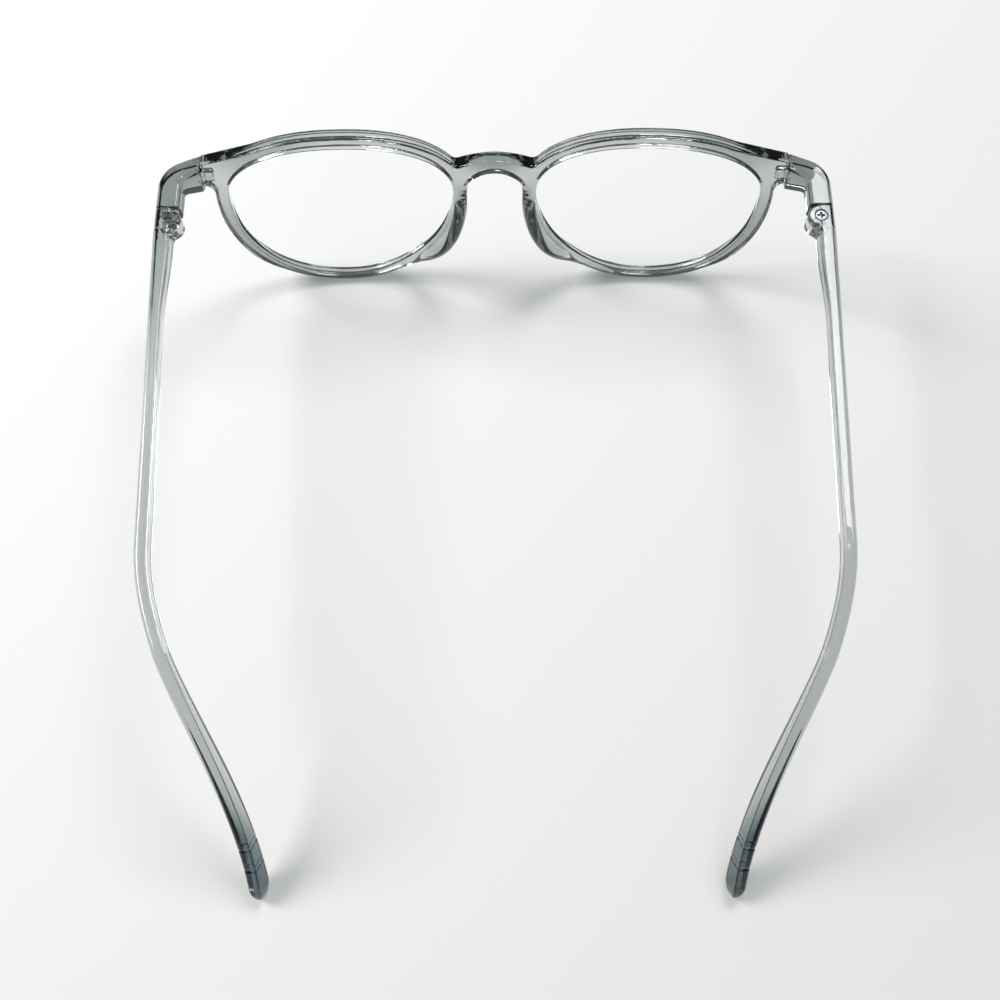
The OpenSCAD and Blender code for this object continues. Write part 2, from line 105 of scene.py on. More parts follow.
# Their radius and their depth behind the seam: least or mean, change, and the phase from one to the next
bubble_r, bubble_r_more, bubble_r_phase = 0.2, 0.17, 5.1
bubble_deep, bubble_deep_more, bubble_deep_phase = 0.55, 0.5, 3.7
# Edges of the arm's rear, the tongue, its root and its bore, and how far the tongue starts inside the arm
arm_edge, tongue_edge, tongue_fillet, bore_edge, tongue_in = 0.3, 0.15, 0.12, 0.1, 1
# How much lower the front stands than the CAD part's lift, and the tips' height over the table and shortening
front_clear, tip_clear, end_clear = 0.01, 0.005, 0.03
# Temple: the zone of hinge work round the axis, least half size of the rounded end, and where its round stops
hinge_zone, least_half, end_share = 9, 0.02, 1.3
# Ring grooves: share of the CAD part's depth, half width at the bottom's edge and flank
ring_share, ring_half, ring_flank = 0.6, 0.28, 0.16
# Temple's roundings: outer and inner edges above and below, along the blade and at both ends
outer_top, outer_low, outer_low_end = 1.0, 0.7, 1.2
inner_root, inner_top, inner_low, inner_low_end = 0.8, 0.35, 0.55, 1.2
root_round_end, root_round_run, tip_round_len, tip_round_run, inner_run = 26, 16, 22, 14, 18
# Lugs: less height than the arm, start under the outer face, edges and fillet, and the stop's edge
lug_less, lug_inset, lug_edge, lug_fillet, stop_edge = 0.1, 0.3, 0.28, 0.12, 0.25
# Edges of the slot, the bores and their seats, and the play round the head and the insert
slot_edge, lug_bore_edge, seat_edge = 0.1, 0.05, 0.08
seat_fit, nest_fit = 0.08, 0.02
# Pocket at the slot's blind end: its middle from the axis, outwards and back, its turn and half size
pocket_at, pocket_turn, pocket_half = (0.55, 2.6), 28, 0.85
# Screw: set down, head's lessening, head's edge and fillet; thread's depth, pitch and start, shank's two ends
screw_down, head_less, head_edge, shank_fillet = 0.05, 0.1, 0.14, 0.08
thread_depth, thread_pitch, thread_start, shank_short, shank_in = 0.035, 0.35, 0.3, 0.25, 0.2
# Crossed recess: half width, half length and middle at the top, how fast each narrows, depth and edge
cross_half_w, cross_half_len, cross_mid_r = 0.19, 0.78, 0.34
cross_w_draft, cross_len_draft, cross_mid_draft, cross_depth, cross_edge = 0.12, 0.7, 0.3, 0.5, 0.04
# Insert: knurl's depth, count and slant, bore's play, shortening at each end and edge
knurl_depth, knurl_n, knurl_slant = 0.02, 24, 9
insert_fit, insert_short, insert_edge = 0.02, 0.01, 0.05
# Lens: every so many points of the outline, its rings as shares of the way out, its bevel's flat, its step at
# the face and its gap at the crest
lens_stride, bevel_flat, face_step, crest_gap = 6, 0.05, (0.04, 0.02), 0.02
lens_rings = np.concatenate([np.linspace(0.04, 0.96, 16), [0.985, 1.0]])
# Temple's middle line: reach of its tangent, and rounds that settle the tip on the table
tangent_reach, settle_rounds = 0.2, 4
# Mesh cells: front, end pieces and temples, screws and inserts; along a temple also blade, tip and its length
front_cell, end_cell, hinge_cell = ((0.235, 0.13, 0.045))
blade_cell, tip_cell, tip_cell_len = 0.5, 0.1, 11
# Room for the meshes: half of the front, end piece, temple, screw and insert, each in its own field's axes
front_wide, front_deep, front_high = 61.6, (-2.9, 5.6), (-0.5, 46.2)
end_wide, end_ahead, end_behind, end_half_high = (58, 70), 1.5, 2.5, 4
temple_ahead, root_cell_len, temple_behind, temple_deep, temple_high = -2.9, 5, 0.6, (-0.35, 5.8), (-3, 3.01)
screw_wide, screw_high = (-1.4, 1.4), (-2.6, 2.6)
insert_wide, insert_deep, insert_high = (-1.34, 1.31), (-1.31, 1.31), (-2.59, -0.9)
# Drawing a net onto its surface: passes, the gradient's probe and least square, and the longest step in cells
net_passes, probe, least_slope, longest_step = 3, 0.01, 0.05, 0.6

# The colour that light takes on its way through the plastics, and their clear base colour; the darker colours
# below are painted shade
smoke, clear = (0.46, 0.515, 0.50), (0.99, 0.99, 0.985)
# What shadows keep of the lamps' light behind plastic and lens
plastic_shade, lens_shade = (0.66, 0.68, 0.68, 1), (0.98, 0.985, 0.98, 1)
# Painted shade: darker base colours for the lower rims, pads, bridge top, end pieces' arms, temples' fronts
# and tips, where the clear plastic looks dark
low_rim_painted_shade, pad_painted_shade, bridge_painted_shade = (0.58, 0.61, 0.605), (0.68, 0.72, 0.72), (0.50, 0.55, 0.565)
arm_painted_shade, lug_painted_shade, tip_painted_shade = (0.80, 0.83, 0.82), (0.74, 0.77, 0.77), (0.22, 0.28, 0.33)

# Lamps, in metres and watts: place, aim, size, power and colour
lamps = {
    "window": ((0.75, -0.25, 0.75), (0, 0, 0.02), (0.45, 0.45), 9.9, (1.0, 0.99, 0.975)),
    "ceiling": ((-0.25, -0.6, 1.0), (0, 0, 0.02), (0.45, 0.4), 6.1, (0.99, 0.99, 1.0)),
}
floor_half_m, floor_colour = 2, (0.86, 0.855, 0.835, 1)
world_colour, world_strength = (0.84, 0.93, 1.0, 1), 0.17


def cos_sin(degrees):
    a = math.radians(degrees)
    return math.cos(a), math.sin(a)


lean_c, lean_s = cos_sin(front_lean)
wrap_c, wrap_s = cos_sin(face_wrap)
opening_x = (nose_gap + opening_w) / 2
opening_out = opening_x + opening_w / 2
opening_mid = rim_low_w + opening_h * widest_at
half_up, half_down = opening_h * (1 - widest_at), opening_h * widest_at
wrap_shift = opening_x * math.tan(math.radians(face_wrap)) / 2
mouth = lens_t / 2 + lens_fit
bridge_top = opening_mid + bridge_up
bridge_half, arch_half = nose_gap / 2 - bridge_in, nose_gap / 2 - arch_in
brow_x = opening_x + brow_start * opening_w
slot_r = tongue_r + slot_gap
slot_h = tongue_t + 2 * slot_gap
lug_h = arm_h / 2 - lug_less


def place_camera():
    level, roll = math.radians(camera_down), math.radians(camera_roll)
    ahead = Vector((0, -math.cos(level), -math.sin(level)))
    right = Vector((-1, 0, 0))
    up = right.cross(ahead)
    rolled_right = right * math.cos(roll) + up * math.sin(roll)
    rolled_up = up * math.cos(roll) - right * math.sin(roll)
    data = bpy.data.cameras.new("camera")
    data.sensor_width = sensor_mm
    data.lens = sensor_mm * focal_px / photo_px
    data.clip_start = camera_near_m
    data.clip_end = camera_far_m
    cam = bpy.data.objects.new("camera", data)
    m = Matrix((rolled_right, rolled_up, -ahead)).transposed().to_4x4()
    m.translation = Vector(camera_at) * MM
    cam.matrix_world = m
    bpy.context.scene.collection.objects.link(cam)
    bpy.context.scene.camera = cam


def clip01(t):
    return np.clip(t, 0, 1)


def smooth(t):
    t = clip01(t)
    return t * t * (3 - 2 * t)


def mix(a, b, t):
    return a + (b - a) * t


def smin(a, b, k):
    h = clip01(0.5 + 0.5 * (b - a) / k)
    return mix(b, a, h) - k * h * (1 - h)


def smax(a, b, k):
    return -smin(-a, -b, k)


def rounded(qx, qy, r):
    """Distance to a rounded box in section, from how far a point lies beyond its two half sizes."""
    beyond = np.hypot(np.maximum(qx + r, 0), np.maximum(qy + r, 0))
    return beyond + np.minimum(np.maximum(qx, qy) + r, 0) - r


# The opening's outline, and values round it

def outline():
    """Outline of a lens opening, evenly spaced: x, z, outward normal and angle round the opening."""
    a = np.linspace(0, 360, outline_fine_n, endpoint=False)
    n = np.array(fullness)[(a // 90).astype(int)]
    c, s = np.cos(np.radians(a)), np.sin(np.radians(a))
    x = opening_x + opening_w / 2 * np.sign(c) * np.abs(c) ** (2 / n)
    z = opening_mid + np.where(a < 180, half_up, half_down) * np.sign(s) * np.abs(s) ** (2 / n)
    xs, zs = np.append(x, x[0]), np.append(z, z[0])
    run = np.concatenate([[0], np.cumsum(np.hypot(np.diff(xs), np.diff(zs)))])
    at = np.linspace(0, run[-1], outline_n, endpoint=False)
    x, z, a = (np.interp(at, run, v) for v in (xs, zs, np.append(a, 360)))
    step = run[-1] / outline_n
    reach = int(outline_tail / step)
    kernel = np.exp(-0.5 * (np.arange(-reach, reach + 1) * step / outline_spread) ** 2)
    kernel /= kernel.sum()

    def soften(v):
        return np.convolve(np.concatenate([v[-reach:], v, v[:reach]]), kernel, "valid")

    x, z = soften(x), soften(z)
    dx, dz = np.roll(x, -1) - np.roll(x, 1), np.roll(z, -1) - np.roll(z, 1)
    length = np.hypot(dx, dz)
    return x, z, dz / length, -dx / length, a


LINE = outline()

# Nose pad's crest by the angle round the opening: share of the reach, radius, distance from the opening
PAD = np.array([
    [160, -0.35, 0.5, 1.3], [168, 0.0, 0.9, 1.35], [174, 0.25, 1.2, 1.4], [185, 0.6, 1.42, 1.55],
    [197, 0.92, 1.5, 1.65], [209, 1, 1.5, 2], [219, 0.85, 1.5, 2], [227, 0.5, 1.38, 1.6],
    [235, 0.12, 1.1, 1.3], [244, -0.12, 0.85, 1.1], [254, -0.35, 0.5, 1.0]])
pad_means = (-5, -3, -1, 1, 3, 5)


def rim_w(a):
    s = np.sin(np.radians(a))
    return mix(rim_side_w, np.where(s > 0, rim_top_w, rim_low_w), s * s)


def pad_value(a, column):
    """The crest's values between its stations, rounded over by a short running mean."""
    return sum(np.interp(a + d, PAD[:, 0], PAD[:, column]) for d in pad_means) / len(pad_means)


def plane_tables():
    """Values on a grid in the front's plane: distance out of the opening, rim's width, pad's three values."""
    (x0, z0), (x1, z1) = plane_from, plane_to
    nx, nz = int((x1 - x0) / plane_cell), int((z1 - z0) / plane_cell)
    gx, gz = x0 + plane_cell * np.arange(nx), z0 + plane_cell * np.arange(nz)
    x, z, normal_x, normal_z, a = LINE
    near = np.empty((nx, nz), np.int32)
    coarse = np.arange(0, len(x), plane_stride)
    beside = np.arange(-plane_stride, plane_stride + 1)
    for i in range(nx):
        far = (gx[i] - x[coarse])[None, :] ** 2 + (gz[:, None] - z[coarse][None, :]) ** 2
        some = (coarse[far.argmin(1)][:, None] + beside[None, :]) % len(x)
        far = (gx[i] - x[some]) ** 2 + (gz[:, None] - z[some]) ** 2
        near[i] = some[np.arange(nz), far.argmin(1)]
    dx, dz = gx[:, None] - x[near], gz[None, :] - z[near]
    along = dx * normal_x[near] + dz * normal_z[near]
    far = np.hypot(dx, dz)
    out = np.where(far < plane_near, along, np.sign(along) * far)
    at = a[near]
    return np.stack([out, rim_w(at)] + [pad_value(at, c) for c in (1, 2, 3)], -1).astype(np.float32)


TABLES = plane_tables()


def round_opening(x, z):
    """The tables' values at points of the front's plane."""
    just_inside = 1.001
    u = np.clip((x - plane_from[0]) / plane_cell, 0, TABLES.shape[0] - just_inside)
    v = np.clip((z - plane_from[1]) / plane_cell, 0, TABLES.shape[1] - just_inside)
    i, j = u.astype(np.int32), v.astype(np.int32)
    fu, fv = (u - i)[..., None].astype(np.float32), (v - j)[..., None].astype(np.float32)
    low = TABLES[i, j] * (1 - fv) + TABLES[i, j + 1] * fv
    high = TABLES[i + 1, j] * (1 - fv) + TABLES[i + 1, j + 1] * fv
    return np.moveaxis(low * (1 - fu) + high * fu, -1, 0)


# Places that the pieces share, from the same chain of sizes as the CAD part

def lean(p):
    p = np.asarray(p, float)
    x, y, z = p[..., 0], p[..., 1], p[..., 2]
    return np.stack([x, y * lean_c - z * lean_s, y * lean_s + z * lean_c], -1)


def wrap(p):
    p = np.asarray(p, float)
    x, y, z = p[..., 0], p[..., 1], p[..., 2]
    return np.stack([x * wrap_c - y * wrap_s, x * wrap_s + y * wrap_c - wrap_shift, z], -1)


def table_lift():
    """Lift that sets the CAD rim's lowest corner on the table."""
    x, z, normal_x, normal_z, a = LINE
    w = rim_w(a)
    r = cad_front_edge
    lowest = math.inf
    for turn in np.radians(cad_corner_turns):
        out = w - r + r * math.cos(turn)
        for side in (-1, 1):
            y = side * (rim_t / 2 - r + r * math.sin(turn))
            q = lean(wrap(np.stack([x + normal_x * out, np.full_like(x, y), z + normal_z * out], -1)))
            lowest = min(lowest, q[:, 2].min())
    return -lowest


seam_x = opening_out + seam_out
half_w = seam_x + end_reach
lift = table_lift()
arm_low = (opening_mid + arm_up) * lean_c + lift
temple_top = arm_low + arm_h
tongue_z = arm_low + arm_h / 2
seam_mid = (tongue_z - lift) / lean_c
root_line_y = float(lean(wrap([seam_x, -rim_t / 2, seam_mid]))[1])
bend_x = half_w - bend_r
turn_c, turn_s = cos_sin(root_turn)
root_run = (bend_x + bend_r * turn_s - seam_x) / turn_c
bend_y = root_line_y + root_run * turn_s + bend_r * turn_c
arm_rear = bend_y + arm_len
axis_x = half_w - axis_inset
axis_y = arm_rear + axis_back
cad_screw_low, cad_screw_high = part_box("left_hinge_screw")
shift_y = (cad_screw_low.y + cad_screw_high.y) / 2 / MM - axis_y
temple_len = temple_reach - axis_back


# Meshes from fields: a net of quads through the cells that a surface crosses, drawn onto the surface

def net(field, xs, ys, zs, half=False):
    """Points and quads of a field's zero surface. With half, a net from the middle outwards is mirrored."""
    f = field(*np.meshgrid(xs, ys, zs, indexing="ij")).astype(np.float32)
    inside = f < 0
    corners = [(i, j, k) for i in (0, 1) for j in (0, 1) for k in (0, 1)]
    core = [inside[i:i + f.shape[0] - 1, j:j + f.shape[1] - 1, k:k + f.shape[2] - 1] for i, j, k in corners]
    some, every = core[0].copy(), core[0].copy()
    for c in core[1:]:
        some |= c
        every &= c
    ci, cj, ck = np.nonzero(some & ~every)
    index = np.full(some.shape, -1, np.int64)
    index[ci, cj, ck] = np.arange(len(ci))
    total, hits = np.zeros((len(ci), 3)), np.zeros(len(ci))
    for p in corners:
        for axis in range(3):
            if p[axis]:
                continue
            q = list(p)
            q[axis] = 1
            fa, fb = f[ci + p[0], cj + p[1], ck + p[2]], f[ci + q[0], cj + q[1], ck + q[2]]
            cross = (fa < 0) != (fb < 0)
            t = np.where(cross, fa / np.where(cross, fa - fb, 1), 0)
            a = np.stack([xs[ci + p[0]], ys[cj + p[1]], zs[ck + p[2]]], -1)
            b = np.stack([xs[ci + q[0]], ys[cj + q[1]], zs[ck + q[2]]], -1)
            total += np.where(cross[:, None], a + t[:, None] * (b - a), 0)
            hits += cross
    verts = total / hits[:, None]
    faces = []
    for axis in range(3):
        lo, hi = [slice(None)] * 3, [slice(None)] * 3
        lo[axis], hi[axis] = slice(0, -1), slice(1, None)
        a, b = inside[tuple(lo)], inside[tuple(hi)]
        e = np.stack(np.nonzero(a != b), -1)
        o1, o2 = (axis + 1) % 3, (axis + 2) % 3
        e = e[(e[:, o1] > 0) & (e[:, o2] > 0) & (e[:, o1] < f.shape[o1] - 1) & (e[:, o2] < f.shape[o2] - 1)]
        out = a[tuple(e.T)]
        quad = []
        for d1, d2 in ((-1, -1), (0, -1), (0, 0), (-1, 0)):
            c = e.copy()
            c[:, o1] += d1
            c[:, o2] += d2
            quad.append(index[tuple(c.T)])
        quad = np.stack(quad, -1)
        faces.append(np.where(out[:, None], quad, quad[:, ::-1]))
    faces = np.concatenate(faces)
    cell = min(np.diff(v).min() for v in (xs, ys, zs))
    for _ in range(net_passes):
        value = field(*verts.T)
        grad = np.stack([(field(*(verts + d).T) - field(*(verts - d).T)) / (2 * probe)
                         for d in np.eye(3) * probe], -1)
        size = np.maximum((grad ** 2).sum(-1), least_slope)
        step = grad * (value / size)[:, None]
        length = np.linalg.norm(step, axis=-1)
        verts -= step * np.minimum(1, longest_step * cell / np.maximum(length, 1e-9))[:, None]
    if half:
        middle = ci == 0
        verts[middle, 0] = 0
        other = np.arange(len(verts))
        other[~middle] = len(verts) + np.arange((~middle).sum())
        verts = np.concatenate([verts, verts[~middle] * [-1, 1, 1]])
        faces = np.concatenate([faces, other[faces][:, ::-1]])
    return verts, faces


def make_object(name, verts, face_sets, body, node, material, mirror=False):
    """A finished piece from its points in millimetres and arrays of faces, each with one count of corners."""
    if mirror:
        verts = verts * [-1, 1, 1]
        face_sets = [faces[:, ::-1] for faces in face_sets]
    sizes = np.concatenate([np.full(len(faces), faces.shape[1], np.int32) for faces in face_sets])
    corners = np.concatenate([faces.ravel() for faces in face_sets]).astype(np.int32)
    mesh = bpy.data.meshes.new(name)
    mesh.vertices.add(len(verts))
    mesh.vertices.foreach_set("co", (verts * MM).astype(np.float32).ravel())
    mesh.loops.add(len(corners))
    mesh.loops.foreach_set("vertex_index", corners)
    mesh.polygons.add(len(sizes))
    mesh.polygons.foreach_set("loop_start", (np.cumsum(sizes) - sizes).astype(np.int32))
    mesh.polygons.foreach_set("loop_total", sizes)
    mesh.update(calc_edges=True)
    mesh.validate()
    mesh.polygons.foreach_set("use_smooth", np.full(len(mesh.polygons), True))
    obj = bpy.data.objects.new(name, mesh)
    bpy.context.scene.collection.objects.link(obj)
    mesh.materials.append(material)
    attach(obj, body)
    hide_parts(node)


def spaced(*parts):
    """Grid coordinates from (from, to, step) parts in a row."""
    out = [parts[0][0]]
    for a, b, step in parts:
        n = max(1, int(round((b - a) / step)))
        out += list(a + (b - a) * np.arange(1, n + 1) / n)
    return np.array(out)


# Front: rims, bridge and brows are one moulded outline, rounded front and back, with the pads behind it

def opening_top(x):
    """Height of the opening's upper edge."""
    along = clip01((x - opening_x) / (opening_w / 2))
    return opening_mid + half_up * (1 - along ** fullness[0]) ** (1 / fullness[0])


def front_plan(ax, px, z, out, w):
    """Distance to the outline of rim, brow and bridge in the front's plane, and how far the brow has run."""
    share = (px - brow_x) / (seam_x - brow_x)
    high = mix(opening_top(brow_x) + rim_top_w - brow_sink, seam_mid + root_h / 2, share)
    low = seam_mid - root_h / 2 - brow_dip * clip01((seam_x - px) / brow_dip_run) ** 2
    low = np.maximum(np.minimum(opening_top(px) + rim_side_w / 2, high - brow_least_h), low)
    brow = np.maximum(np.abs(z - (high + low) / 2) - (high - low) / 2, brow_x - px)
    high = bridge_top - bridge_dip * (ax / bridge_half) ** 2
    low = bridge_top - bridge_h - arch_rise * (ax / arch_half) ** arch_power
    slope = np.where(z > (high + low) / 2, 2 * bridge_dip * ax / bridge_half ** 2,
                     arch_rise * arch_power * ax ** (arch_power - 1) / arch_half ** arch_power)
    bridge = (np.abs(z - (high + low) / 2) - (high - low) / 2) / np.sqrt(1 + slope ** 2)
    bridge = np.maximum(bridge, ax - bridge_half - bridge_over)
    # the brow fillets widely into the rim below it, and hardly above it
    under = smooth((seam_mid - z) / wide_rise) * smooth((px - opening_out + wide_from) / wide_run)
    plan = smin(out - w, brow, mix(brow_fillet, brow_under_fillet, under))
    return smin(plan, bridge, bridge_fillet), share


def front_field(x, y, z):
    ax = np.abs(x)
    px = ax * wrap_c + (y + wrap_shift) * wrap_s
    # the turned halves run smoothly into the straight bridge
    py = (y - mix(0, ax * wrap_s / wrap_c - wrap_shift, smooth((ax - straight_half) / straight_run))) * wrap_c
    out, w, share, crest_r, crest_out = round_opening(px, z)
    plan, brow_share = front_plan(ax, px, z, out, w)
    at_seam = smooth(brow_share)
    depth = rim_t + (bridge_depth - rim_t) * (1 - smooth(ax / bridge_half)) + (root_t - rim_t) * at_seam
    deep = np.abs(py - (depth - rim_t) / 2) - depth / 2
    # undersides are rounded more widely than the tops
    low = smooth((bridge_top - under_from - z) / under_run)
    f = rounded(plan, deep, mix(mix(front_edge, under_edge, low), end_edge, at_seam))
    # nose pad: a ridge from a foot in the rim to its crest behind it
    foot_r = (w - bevel_reach) / 2 - foot_cover
    foot_out = w - foot_cover - foot_r
    crest_y = share * (pad_reach - pad_r)
    du, dv = crest_out - foot_out, crest_y
    t = clip01(((out - foot_out) * du + py * dv) / np.maximum(du * du + dv * dv, 1e-6))
    pad = np.hypot(out - foot_out - t * du, py - t * dv) - mix(foot_r, crest_r, t)
    pad = np.where(share > pad_least, pad, far_off)
    f = smin(f, pad, pad_fillet)
    f = smax(f, -py - rim_t / 2, crisp_edge)
    # the opening stays free, and the lens's groove runs round it
    half_t = np.maximum(rim_t / 2, far_off * (pad < pad_near))
    f = np.maximum(f, rounded(-out, np.abs(py) - half_t, inner_edge))
    k = bevel_reach / mouth
    f = smax(f, -(out - bevel_reach + np.abs(py) * k) / math.sqrt(1 + k * k), groove_edge)
    # socket for the end piece's peg
    f = smax(f, -peg(px - seam_x, py + rim_t / 2 - root_t / 2, z - seam_mid, peg_fit), socket_edge)
    return smax(f, px - seam_x, seam_edge)


def peg(x, y, z, grow):
    """Rounded tongue that bonds the end piece into the front, from the seam's middle."""
    q = [np.abs(x + peg_in) - peg_len + peg_short, np.abs(y) - peg_half_t, np.abs(z) - peg_half_h]
    q = [v + peg_round for v in q]
    beyond = np.sqrt(sum(np.maximum(v, 0) ** 2 for v in q))
    return beyond + np.minimum(np.maximum(np.maximum(*q[:2]), q[2]), 0) - peg_round - grow


def front_to_world(v):
    return lean(v) + [0, shift_y, lift - front_clear]


# End piece: root, bend and arm in plan, with the hinge's tongue

def bubbles():
    """Middle, from the seam's, and radius of each bubble of air in the bond."""
    for i in range(bubble_n):
        turn, far = bubble_turn * i, bubble_spread * math.sqrt(i + 0.5)
        r = bubble_r + bubble_r_more * math.sin(bubble_r_phase * i + 1) ** 2
        yield (seam_x + bubble_deep + bubble_deep_more * math.sin(bubble_deep_phase * i),
               bubble_mid[0] + far * math.cos(turn),
               bubble_mid[1] + bubble_tall * far * math.sin(turn)), r


def end_field(x, y, z):
    dx, dy = x - bend_x, y - bend_y
    # distance inwards from the outer line, and the place along it: 0 at the root's end, 1 at the bend's end
    root_s = dx * turn_c + dy * turn_s
    on_root, on_arm = root_s < 0, dy > 0
    u = np.where(on_arm, bend_r - dx, np.where(on_root, bend_r - (dx * turn_s - dy * turn_c),
                                               bend_r - np.hypot(dx, dy)))
    root_angle = math.radians(root_turn - 90)
    s = np.where(on_arm, 1 + dy / arm_len, np.where(on_root, root_s / root_run,
                                                    (np.arctan2(dy, dx) - root_angle) / -root_angle))
    back = smooth((s + 1) / 2)
    tilt = np.radians(front_lean * (1 - back))
    un, zn = u - root_t / 2, z - tongue_z
    a = un * np.cos(tilt) + zn * np.sin(tilt)
    b = zn * np.cos(tilt) - un * np.sin(tilt)
    f = rounded(np.abs(a) - root_t / 2, np.abs(b) - mix(root_h, arm_h, back) / 2, end_edge)
    f = smax(f, seam_x + seam_gap - x, seam_edge)
    f = smax(f, y - arm_rear, arm_edge)
    in_y, in_z = y - root_line_y - root_t / 2, z - tongue_z
    bond = peg(x - seam_x, in_y * lean_c + in_z * lean_s, in_z * lean_c - in_y * lean_s, 0)
    f = smin(f, bond, socket_edge)
    for at, r in bubbles():
        air = np.sqrt((x - at[0]) ** 2 + (in_y - at[1]) ** 2 + (in_z - at[2]) ** 2) - r
        f = smax(f, -air, bubble_edge)
    from_axis = np.hypot(x - axis_x, y - axis_y)
    box = np.maximum(np.abs(x - axis_x) - tongue_r, np.maximum(y - axis_y, arm_rear - tongue_in - y))
    tongue = smax(np.minimum(from_axis - tongue_r, box), np.abs(z - tongue_z) - tongue_t / 2, tongue_edge)
    f = smin(f, tongue, tongue_fillet)
    return smax(f, shank_r + shank_fit - from_axis, bore_edge)


# Temple, in its own run: distance back from the axis, depth from the outer face, height over the middle

def temple_size(d):
    front = smooth((d - taper_from) / (taper_to - taper_from))
    swell = smooth((d - temple_len + swell_len) / swell_len)
    t = mix(mix(temple_front_t, blade_t, front), tip_t, swell)
    return t, mix(mix(arm_h, blade_h, front), tip_h, swell)


def temple_hook(d):
    return smooth((d - temple_len + hook_len) / hook_len)


def temple_inward(d):
    return blade_lean * np.maximum(d - taper_from, 0) + hook_in * temple_hook(d)


def temple_drop(d):
    k = clip01((d - temple_len + drop_len) / drop_len)
    return k * k * (1 + drop_bend) / (k + drop_bend)


def blade_field(d, u, v, t, h):
    """Blade and tip, with the rounded end and the ring grooves."""
    cap = temple_len - end_clear
    end = (d - cap) / end_round + 1
    k = np.where(end > 0, np.sqrt(np.maximum(1 - np.minimum(end, end_share) ** 2, 0.0)), 1)
    ring = 0
    for g in (temple_len - groove_from_end, temple_len - groove_from_end - groove_pitch):
        ring = np.maximum(ring, ring_share * groove_depth * smooth((ring_half - np.abs(d - g)) / ring_flank))
    half_t, half_h = np.maximum(t / 2 * k - ring, least_half), np.maximum(h / 2 * k - ring, least_half)
    # the top's outer edge is rounded widely, its inner edge crisply; both ends are rounder below
    at_ends = np.maximum(1 - smooth((d - root_round_end) / root_round_run),
                         smooth((d - temple_len + tip_round_len) / tip_round_run))
    outer = np.where(v > 0, outer_top, mix(outer_low, outer_low_end, at_ends))
    inner = np.where(v > 0, inner_top, mix(inner_low, inner_low_end, at_ends))
    inner = mix(inner_root, inner, smooth(d / inner_run))
    r = np.minimum(np.where(u < t / 2, outer, inner), np.minimum(half_t, half_h))
    f = rounded(np.abs(u - t / 2) - half_t, np.abs(v) - half_h, r)
    return smax(np.maximum(f, d - cap), -axis_back + stop_gap - d, stop_edge)


def lug_plan(x, d):
    """In plan: an eye round the screw, with a wall to the outer face and a fillet to the blade."""
    face = axis_inset - temple_front_t
    cx, cy = face - lug_fillet_r, math.sqrt((lug_r + lug_fillet_r) ** 2 - (face - lug_fillet_r) ** 2)
    eye = np.hypot(x, d) - lug_r
    outside = x - axis_inset + lug_inset
    wall = np.maximum(np.maximum(-x, outside), np.maximum(-lug_r - d, d - cy))
    web = np.maximum(np.maximum(cx - x, outside), np.maximum(-d, d - cy))
    # the fillet's side is under the line from the axis to the fillet's centre
    side = (x * cy - d * cx) / math.hypot(cx, cy)
    web = np.maximum(np.maximum(web, lug_fillet_r - np.hypot(x - cx, d - cy)), -side)
    return np.minimum(np.minimum(eye, wall), web)


def slot_plan(x, d):
    """In plan: the tongue's slot, open to the front and inwards, and the pocket at its blind end."""
    ends = np.minimum(np.maximum(x, d - slot_r), np.maximum(d, x - slot_r))
    px, pd = x - pocket_at[0], d - pocket_at[1]
    c, s = cos_sin(pocket_turn)
    pocket = np.maximum(np.abs(px * c + pd * s) - pocket_half, np.abs(pd * c - px * s) - pocket_half)
    return np.minimum(np.minimum(np.hypot(x, d) - slot_r, ends), pocket)


def temple_field(d, u, v):
    t, h = temple_size(d)
    f = blade_field(d, u, v, t, h)
    near = d < hinge_zone
    x = axis_inset - u - np.where(near, temple_inward(d), 0)
    z = v + (arm_h - h) / 2
    lug = rounded(lug_plan(x, d), np.abs(z) - lug_h, lug_edge)
    f = np.where(near, smin(f, lug, lug_fillet), f)
    cut = np.maximum(slot_plan(x, d), np.abs(z) - slot_h / 2)
    f = np.where(near, smax(f, -cut, slot_edge), f)
    # bore, the head's seat from above and the insert's from below
    q = np.hypot(x, d)
    bore = shank_r + shank_fit - q
    seat = np.minimum(head_r + seat_fit - q, z - (lug_h - head_h))
    nest = np.minimum(shank_r + insert_wall + nest_fit - q, -lug_h + insert_len - z)
    bored = smax(smax(f, bore, lug_bore_edge), smax(seat, nest, lug_bore_edge), seat_edge)
    return np.where(near, bored, f)


def temple_world(p, fall):
    d, u, v = p.T

    def mid(q):
        t, h = temple_size(q)
        x, z = axis_inset - t / 2 - temple_inward(q), temple_top - h / 2 - fall * temple_drop(q)
        return np.stack([x, q, z], -1)

    way = mid(d + tangent_reach) - mid(d - tangent_reach)
    way[d < taper_from] = [0, 1, 0]
    way /= np.linalg.norm(way, axis=-1)[:, None]
    side = np.stack([way[:, 1], -way[:, 0], np.zeros(len(d))], -1)
    side /= np.linalg.norm(side, axis=-1)[:, None]
    up = np.cross(side, way)
    roll = np.radians(tip_roll * temple_hook(d))[:, None]
    s, w = side * np.cos(roll) - up * np.sin(roll), up * np.cos(roll) + side * np.sin(roll)
    half_t = temple_size(d)[0] / 2
    return mid(d) + s * (half_t - u)[:, None] + w * v[:, None] + [axis_x, axis_y + shift_y, 0]


def on_table(v):
    """The temple's points in the world, with the drop that sets the tip on the table."""
    fall = temple_top - tip_h
    tip = v[v[:, 0] > temple_len / 2]
    for _ in range(settle_rounds):
        fall += temple_world(tip, fall)[:, 2].min() - tip_clear
    return temple_world(v, fall)


# Lens: both faces bulge, with a bevelled edge for the groove

